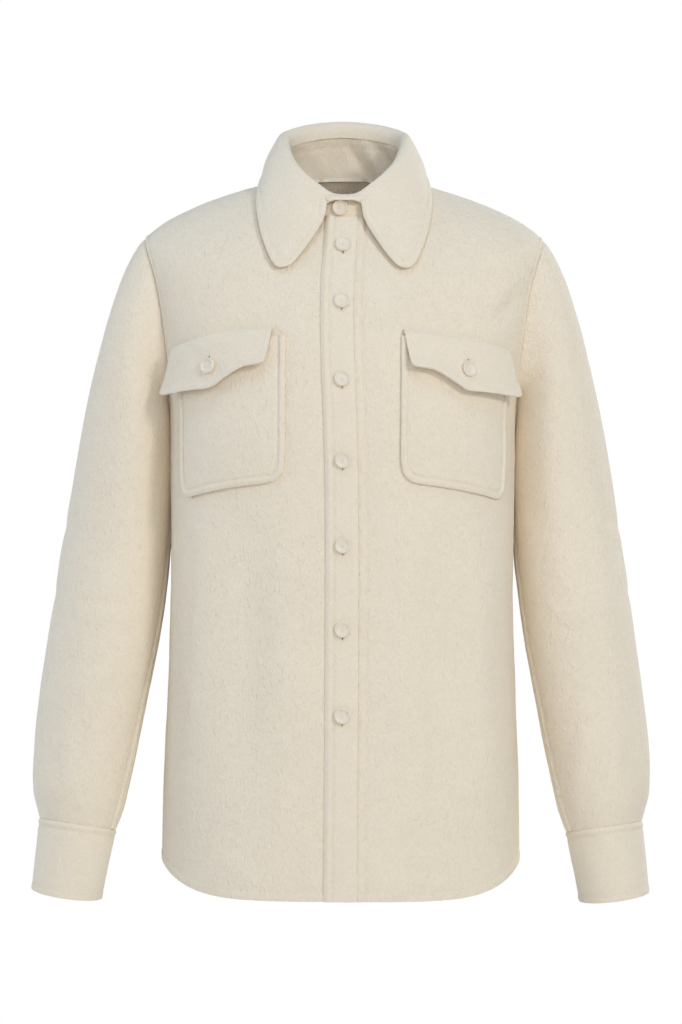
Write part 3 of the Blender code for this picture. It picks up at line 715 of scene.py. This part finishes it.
# Collar
# A stand sewn into the neck and a leaf that rolls over it and down, both doubled and pressed.
# The leaf is topstitched along its front edges and rounded points and round toward the back.
COLLAR_THICK = 2.8 * MM
STAND_FELT = 0.6
STAND_SEAM = 0.6
STAND_STITCH = 6.0 * MM
STAND_TUCK = 1.2 * MM
STAND_BACK = (-30.0 * MM, 30.0 * MM)
STAND_LAP = 2.0 * MM
STAND_LAP_REACH = 15.0 * MM
LEAF_FINE = 10.0 * MM
LEAF_FELT = 0.7
LEAF_STITCH = 7.0 * MM
LEAF_STITCH_ENDS = 28.0 * MM
LEAF_ROUND = 0.45 * MM
LEAF_SETTLE = (2.0 * MM, 3.6 * MM)
LEAF_SETTLE_TURN = 60.0 * MM
LEAF_SETTLE_REACH = 16.0 * MM
LEAF_SETTLE_FROM = 22.0 * MM
LEAF_LAP = 0.6 * MM
LEAF_THROAT = (15.8 * MM, -79.0 * MM, -22.1 * MM)
LEAF_THROAT_REACH = 8.0 * MM
LEAF_THROAT_ROUNDS = 12
STAND_FOLDS = [
    # facing   start       bend        end        width  depth
    ("back", (18, 52), (26, 36), (42, 10), 5.0, -2.6),
    ("back", (2, 50), (10, 34), (26, 12), 5.0, 2.6),
    ("back", (44, 50), (50, 38), (60, 22), 4.5, -2.2),
    ("back", (34, 52), (42, 36), (54, 16), 4.0, 1.8),
    ("back", (-44, 48), (-32, 34), (-18, 16), 7.0, -1.6),
]


def inner_side(line, thick):
    """A line on a cloth's outer side carried through to its inner side."""
    return [(spot - off * thick, -off) for spot, off in line]


def round_off(bm, corner, reach, times):
    """Ease the points of a sheet near a free corner so that it is rounded."""
    near = [vert for vert in bm.verts if (vert.co - corner).length < reach]
    for _ in range(times):
        relax(near, EDGE_EASE, EDGE_EASE)


stand = outer_sheet("collar_stand")
stand_corners = corners(stand)
soften(stand, times=2, pinned=stand_corners)
stand_runs = edge_runs(stand, stand_corners)
points, normals = surface_of(stand)
stand_top = run_near(stand_runs, 0, 58, 48)
stand_foot = run_near(stand_runs, 0, 62, 5)
at_back = np.interp(points[:, 1], STAND_BACK, (0.0, 1.0))
lapped = STAND_LAP * np.exp(-(away_from(points, stand_foot) / STAND_LAP_REACH) ** 2)
press(stand, fold_lift(points, normals, STAND_FOLDS) + STAND_FELT * felt_lift(points)
      + STAND_SEAM * (1 - at_back) * seam_lift(points, *stand_runs) - at_back * lapped
      - welt_lift(points, stand_top, STAND_STITCH, rise=0.5 * MM, groove=0.6 * MM), close=STAND_TUCK)
sew("collar_stand_thread", inner_side(stitch_line(stand, stand_top, STAND_STITCH), COLLAR_THICK))
sewn_in("collar_stand", stand, COLLAR_THICK, PRESSED_WOOL)

leaf = outer_sheet("collar_leaf")
leaf_corners = corners_by(leaf, 2, (0, -68, -21), (0, -82, -23))
soften(leaf, times=2, pinned=leaf_corners)
leaf_runs = edge_runs(leaf, leaf_corners)
leaf_edge = max(leaf_runs, key=len)
finer_near(leaf, LEAF_FINE, leaf_edge)
for side in WORN:
    throat = Vector((side * LEAF_THROAT[0], *LEAF_THROAT[1:]))
    round_off(leaf, throat, LEAF_THROAT_REACH, LEAF_THROAT_ROUNDS)
points, _ = surface_of(leaf)
settled = np.exp(-(away_from(points, leaf_edge) / LEAF_SETTLE_REACH) ** 2)
settled *= np.clip(np.abs(points[:, 0]) / LEAF_SETTLE_FROM - 1, 0, 1)
settled *= np.interp(points[:, 1], (-LEAF_SETTLE_TURN, 0.0), LEAF_SETTLE)
press(leaf, LEAF_FELT * felt_lift(points) - settled
      + welt_lift(points, leaf_edge, LEAF_STITCH, rise=0.6 * MM, groove=0.5 * MM))
for vert in leaf.verts:
    if vert.co.y < 0 and abs(vert.co.x) < LEAF_LAP:
        vert.co.x -= math.copysign(LEAF_LAP, vert.co.x)
leaf_line = stitch_line(leaf, leaf_edge, LEAF_STITCH)
sew("collar_leaf_thread", [(spot, off) for spot, off in leaf_line if abs(spot.x) > LEAF_STITCH_ENDS])
sewn_in("collar_leaf", leaf, COLLAR_THICK, PRESSED_WOOL,
        rounding=LEAF_ROUND)

# Pockets
# A patch of wool on each side of the chest, its edge turned under, sewn down its sides and
# round its lower corners so that a soft welt stands up along the edge.
POCKET_FINE = 11.0 * MM
POCKET_WELT = 7.0 * MM
POCKET_CORNER_TURN = math.radians(55)
POCKET_CORNER_REACH = 18.0 * MM
CORNER_ROUNDS = 30


def round_outer_corner(bm, side, reach):
    """Round a patch's lower corner on the side away from the buttons."""
    corner = max(bm.verts, key=lambda vert: vert.co.x * side - vert.co.z).co.copy()
    round_off(bm, corner, reach, CORNER_ROUNDS)


def dress_pocket(side):
    """One patch pocket, worn side 1 for the wearer's left and -1 for the right."""
    node = "pocket_" + WORN[side]
    pocket = outer_sheet(node)
    pinned = corners(pocket, POCKET_CORNER_TURN)
    soften(pocket, times=3, pinned=pinned)
    round_outer_corner(pocket, side, POCKET_CORNER_REACH)
    runs = edge_runs(pocket, pinned)
    sewn = max(runs, key=len)
    finer_near(pocket, POCKET_FINE, sewn)
    points, normals = surface_of(pocket)
    press(pocket, fold_lift(points, normals, FRONT_FOLDS) + felt_lift(points) + seam_lift(points, sewn)
          + welt_lift(points, sewn, POCKET_WELT, rise=1.2 * MM, groove=0.9 * MM))
    sew(node + "_thread", stitch_line(pocket, sewn, POCKET_WELT))
    sewn_in(node, pocket, CLOTH, PANEL_WOOL, rounding=FREE_ROUND)


for side in WORN:
    dress_pocket(side)

# Flaps
# A doubled flap over each pocket with a blunt point, sewn along its top and buttoned at the
# point. Its free edge is turned, pressed and left plain, and curls away from the pocket.
FLAP_THICK = 2.8 * MM
FLAP_EDGE = 6.5 * MM
FLAP_TURN = 2.4
FLAP_CORNER_REACH = 15.0 * MM
FLAP_SURFACES = {}


def dress_flap(side):
    """One pocket flap, worn side 1 for the wearer's left and -1 for the right."""
    node = "flap_" + WORN[side]
    flap = outer_sheet(node)
    upper = sorted(corners(flap), key=lambda place: place[2])[-2:]
    soften(flap, times=3, pinned=upper)
    round_outer_corner(flap, side, FLAP_CORNER_REACH)
    runs = edge_runs(flap, upper)
    top, free = sorted(runs, key=len)
    points, normals = surface_of(flap)
    press(flap, fold_lift(points, normals, FRONT_FOLDS) + felt_lift(points)
          + FLAP_TURN * seam_lift(points, top)
          + welt_lift(points, free, FLAP_EDGE, rise=0.3 * MM, groove=0.15 * MM))
    FLAP_SURFACES[side] = BVHTree.FromBMesh(flap)
    sewn_in(node, flap, FLAP_THICK, PRESSED_WOOL, rounding=FREE_ROUND)


for side in WORN:
    dress_flap(side)

# Buttons
# Ten turned buttons of cream plastic with a raised rim and a dished middle, sewn on through two
# holes with a bar of thread up and down between them.
BUTTON_CREAM = (0.86, 0.785, 0.66)
BUTTON_STEPS = 40
DISH = 0.56
HOLE_APART = 2.0 * MM
BAR_POINTS = 15
BAR_RISE = 0.42 * MM
STRANDS = (-1.5, -0.5, 0.5, 1.5)
STRAND_APART = 0.42 * MM
STRAND_RADIUS = 0.26 * MM
BUTTON_PROFILE = [
    # radius and height as shares of the button's own
    (0.0, 0.0), (0.80, 0.0), (0.93, 0.12), (1.0, 0.42), (0.985, 0.70), (0.93, 0.92), (0.86, 1.0),
    (0.79, 0.95), (0.73, 0.80), (0.66, 0.65), (0.54, 0.58), (0.25, DISH), (0.0, DISH),
]
BUTTON_PLASTIC = speckled("button_plastic", roughness=0.42, scale=260.0, detail=4.0,
                          dark=[0.92 * value for value in BUTTON_CREAM],
                          light=[1.05 * value for value in BUTTON_CREAM])


def button_seat(node):
    """A button's place on the cloth: its middle, and its directions across, up and off."""
    points = np.array([vert.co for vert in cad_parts[node].data.vertices])
    middle = (points.max(axis=0) + points.min(axis=0)) / 2
    off = np.linalg.svd(points - points.mean(axis=0), full_matrices=False)[2][2]
    off = off if off[1] < 0 else -off
    heights = (points - middle) @ off
    radius = np.linalg.norm(points - middle - np.outer(heights, off), axis=1).max()
    across = np.cross([0, 0, 1], off)
    across /= np.linalg.norm(across)
    up = np.cross(off, across)
    turn = Matrix(np.column_stack([across, up, off]).tolist()).to_4x4()
    return Matrix.Translation(middle + off * heights.min()) @ turn, radius, heights.max() - heights.min()


def turn_button(node):
    """One button, turned from its profile, with its bar of thread."""
    seat, radius, thick = button_seat(node)
    bm = bmesh.new()
    verts = [bm.verts.new((across * radius, 0.0, height * thick)) for across, height in BUTTON_PROFILE]
    edges = [bm.edges.new(pair) for pair in zip(verts, verts[1:])]
    bmesh.ops.spin(bm, geom=verts + edges, cent=(0, 0, 0), axis=(0, 0, 1), angle=2 * math.pi,
                   steps=BUTTON_STEPS, use_merge=True)
    bmesh.ops.remove_doubles(bm, verts=bm.verts[:], dist=2 * MERGE)
    bmesh.ops.recalc_face_normals(bm, faces=bm.faces[:])
    bmesh.ops.transform(bm, matrix=seat, verts=bm.verts[:])
    piece = put_in_scene(node + "_turned", bm, BUTTON_PLASTIC)
    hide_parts(node)
    off = seat.to_3x3() @ Vector((0, 0, 1))
    bar = []
    for share in np.linspace(-1, 1, BAR_POINTS):
        rise = DISH * thick + BAR_RISE * math.sqrt(math.cos(share * math.pi / 2))
        bar.append((seat @ Vector((0, share * HOLE_APART, rise)), off))
    return bar


def bar_thread(name, bars):
    """The bars of thread that hold the buttons, four strands in each."""
    bm = bmesh.new()
    for bar in bars:
        spots = [spot for spot, _ in bar]
        off = bar[0][1]
        way = (spots[-1] - spots[0]).normalized()
        side = off.cross(way).normalized()
        stance = Matrix((side, off, way)).transposed().to_4x4()
        for strand in STRANDS:
            shift = side * strand * STRAND_APART
            ring = bmesh.ops.create_circle(bm, segments=6, radius=STRAND_RADIUS)["verts"]
            bmesh.ops.transform(bm, matrix=Matrix.Translation(spots[0] + shift) @ stance, verts=ring)
            loop = list({edge for vert in ring for edge in vert.link_edges})
            for first, last in zip(spots, spots[1:]):
                grown = bmesh.ops.extrude_edge_only(bm, edges=loop)["geom"]
                ring = [part for part in grown if isinstance(part, bmesh.types.BMVert)]
                loop = [part for part in grown if isinstance(part, bmesh.types.BMEdge)]
                bmesh.ops.translate(bm, verts=ring, vec=last - first)
    bmesh.ops.recalc_face_normals(bm, faces=bm.faces[:])
    piece = put_in_scene(name, bm, SEWING_THREAD)


BAND_NODES = [f"button_{number}" for number in range(2, 9)]
FLAP_NODES = {side: "button_flap_" + worn for side, worn in WORN.items()}
all_buttons = ["button_1", *BAND_NODES, *FLAP_NODES.values()]
bar_thread("button_thread", [turn_button(node) for node in all_buttons])

# Buttonholes
# A slit up and down behind each button of the band and the flaps, about as long as the button
# is wide, its raw edges bound with close stitches laid across them.
# The dark inside each slit is painted shade: a near-black body laid into the cloth.
HOLE_REACH = (10.2 * MM, 5.5 * MM)
HOLE_POINTS = 19
SLIT_HALF = 0.55 * MM
SLIT_END = 0.35
SLIT_BLUNTNESS = 0.4
SLIT_SECTION = [
    # side and height off the cloth
    (-1, 0.10 * MM), (1, 0.10 * MM), (1, -0.40 * MM), (-1, -0.40 * MM),
]
BOUND_PITCH = 0.75 * MM
BOUND_LONG = 1.5 * MM
BOUND_WIDE = 0.78 * MM
BOUND_PROUD = 0.12 * MM
# painted shade: a near-black speckled finish that stands in for the dark depth of a buttonhole
SLIT_SHADOW = speckled("slit_shadow", roughness=1.0, scale=1200.0, detail=2.0,
                       dark=(0.012, 0.009, 0.006), light=(0.05, 0.04, 0.028))


def paint_hole_shade(name, holes):
    """Dark bodies on the cloth, painted as the shade inside the slits, each from a place down to a place
    up on a surface, as one piece.
    """
    bm = bmesh.new()
    bindings = []
    for surface, seat, below, above in holes:
        places = [seat @ Vector((0, along, 0)) for along in np.linspace(-below, above, HOLE_POINTS)]
        spots = [surface.find_nearest(place)[:2] for place in places]
        across = seat.to_3x3() @ Vector((1, 0, 0))
        rows = []
        for number, (spot, off) in enumerate(spots):
            share = (number + SLIT_END) / (HOLE_POINTS - 1 + 2 * SLIT_END)
            half = SLIT_HALF * math.sin(math.pi * share) ** SLIT_BLUNTNESS
            rows.append([bm.verts.new(spot + across * half * side + off * height)
                         for side, height in SLIT_SECTION])
        for first, last in zip(rows, rows[1:]):
            for corner in range(len(SLIT_SECTION)):
                onward = (corner + 1) % len(SLIT_SECTION)
                bm.faces.new((first[corner], first[onward], last[onward], last[corner]))
        bm.faces.new(rows[0][::-1])
        bm.faces.new(rows[-1])
        bindings.append((spots, across))
    bmesh.ops.recalc_face_normals(bm, faces=bm.faces[:])
    piece = put_in_scene(name, bm, SLIT_SHADOW, smooth=False)
    return bindings


def bind_holes(name, bindings):
    """Close stitches round the slits, laid across their edges."""
    bm = bmesh.new()
    for spots, across in bindings:
        middle = np.array([spot for spot, _ in spots])
        outward = np.array([off for _, off in spots])
        lengths = line_lengths(middle)
        places = np.arange(0, lengths[-1], BOUND_PITCH)
        for spot, off in zip(at_lengths(middle, lengths, places), at_lengths(outward, lengths, places)):
            raised, off = Vector(spot + off * BOUND_PROUD), Vector(off)
            for side in (-1, 1):
                edge = raised + across * side * (SLIT_HALF + BOUND_LONG / 2)
                lay_stitch(bm, edge, across * BOUND_LONG / 2, off.cross(across) * BOUND_WIDE / 2, off)
    piece = put_in_scene(name, bm, SEWING_THREAD)


band_holes = [(BAND_SURFACE, button_seat(node)[0], *HOLE_REACH) for node in BAND_NODES]
flap_holes = [(FLAP_SURFACES[side], button_seat(node)[0], *HOLE_REACH[::-1])
              for side, node in FLAP_NODES.items()]
bind_holes("buttonhole_thread", paint_hole_shade("buttonhole_painted_shade", band_holes + flap_holes))

# Studio
# A pale floor well below the shirt and a white surround. The soft lights are a key high on the
# viewer's right, a broad warm one in front, cool ones at the sides and above, and a white one
# behind. The camera is level with the middle of the body.
FLOOR_Z = -1.25
FLOOR_HALF = 2.1
FLOOR_PALE = (0.86, 0.86, 0.86, 1.0)
CHEST = (0.0, 0.0, -0.33)
LIGHTS = [
    # name    place    size in metres    watts    tint
    ("key", (1.7, -2.5, 1.0), 0.6, 28.0, (0.97, 0.96, 0.91)),
    ("front", (0.0, -3.4, 0.2), 2.0, 27.0, (1.0, 0.85, 0.74)),
    ("side", (-2.4, -0.6, 0.4), 1.2, 10.0, (0.66, 0.84, 1.0)),
    ("rim_right", (-2.2, 0.9, 0.2), 1.2, 13.0, (0.915, 0.933, 1.0)),
    ("rim_left", (2.2, 0.9, 0.2), 1.2, 3.0, (0.6, 0.8, 1.0)),
    ("top", (0.0, -1.0, 1.7), 0.8, 8.0, (0.5, 0.72, 1.0)),
    ("behind", (2.0, 2.1, 0.7), 1.1, 34.0, (1.0, 1.0, 1.0)),
]
SURROUND = 0.35
SURROUND_TINT = (0.86, 0.93, 1.0, 1.0)
WHITE = (1.0, 1.0, 1.0, 1.0)
SENSOR = 36.0
FRAME_HEIGHT = 1.024
CAMERA_AWAY = 3.2
CAMERA_PLACE = (-0.0015, -CAMERA_AWAY, -0.327)
CAMERA_ROLL = math.radians(-0.3)

floor_bm = bmesh.new()
bmesh.ops.create_grid(floor_bm, x_segments=2, y_segments=2, size=FLOOR_HALF,
                      matrix=Matrix.Translation((0, 0, FLOOR_Z)))
floor_mesh = bpy.data.meshes.new("floor")
floor_bm.to_mesh(floor_mesh)
floor_bm.free()
floor = bpy.data.objects.new("floor", floor_mesh)
pale = bpy.data.materials.new("pale_floor")
pale.use_nodes = True
pale_shader = pale.node_tree.nodes["Principled BSDF"]
pale_shader.inputs["Base Color"].default_value = FLOOR_PALE
pale_shader.inputs["Roughness"].default_value = 0.9
floor_mesh.materials.append(pale)
bpy.context.scene.collection.objects.link(floor)


def soft_light(name, place, size, watts, tint):
    """A square soft light turned toward the chest."""
    light = bpy.data.lights.new(name, "AREA")
    light.shape = "SQUARE"
    light.size = size
    light.energy = watts
    light.color = tint
    lamp = bpy.data.objects.new(name, light)
    lamp.location = place
    lamp.rotation_euler = (Vector(CHEST) - Vector(place)).to_track_quat("-Z", "Y").to_euler()
    bpy.context.scene.collection.objects.link(lamp)


for light in LIGHTS:
    soft_light(*light)

world = bpy.data.worlds.new("surround")
world.use_nodes = True
world_nodes, world_links = world.node_tree.nodes, world.node_tree.links
seen_white = world_nodes["Background"]
lit_white = world_nodes.new("ShaderNodeBackground")
lit_white.inputs["Strength"].default_value = SURROUND
lit_white.inputs["Color"].default_value = SURROUND_TINT
seen_white.inputs["Color"].default_value = WHITE
ray = world_nodes.new("ShaderNodeLightPath")
either = world_nodes.new("ShaderNodeMixShader")
world_links.new(ray.outputs["Is Camera Ray"], either.inputs[0])
world_links.new(lit_white.outputs[0], either.inputs[1])
world_links.new(seen_white.outputs[0], either.inputs[2])
world_links.new(either.outputs[0], world_nodes["World Output"].inputs["Surface"])
bpy.context.scene.world = world
bpy.context.scene.view_settings.view_transform = "Standard"

camera = bpy.data.cameras.new("camera")
camera.sensor_width = SENSOR
camera.lens = SENSOR * CAMERA_AWAY / FRAME_HEIGHT
viewpoint = bpy.data.objects.new("camera", camera)
viewpoint.location = CAMERA_PLACE
viewpoint.rotation_euler = (math.pi / 2, CAMERA_ROLL, 0.0)
bpy.context.scene.collection.objects.link(viewpoint)
bpy.context.scene.camera = viewpoint
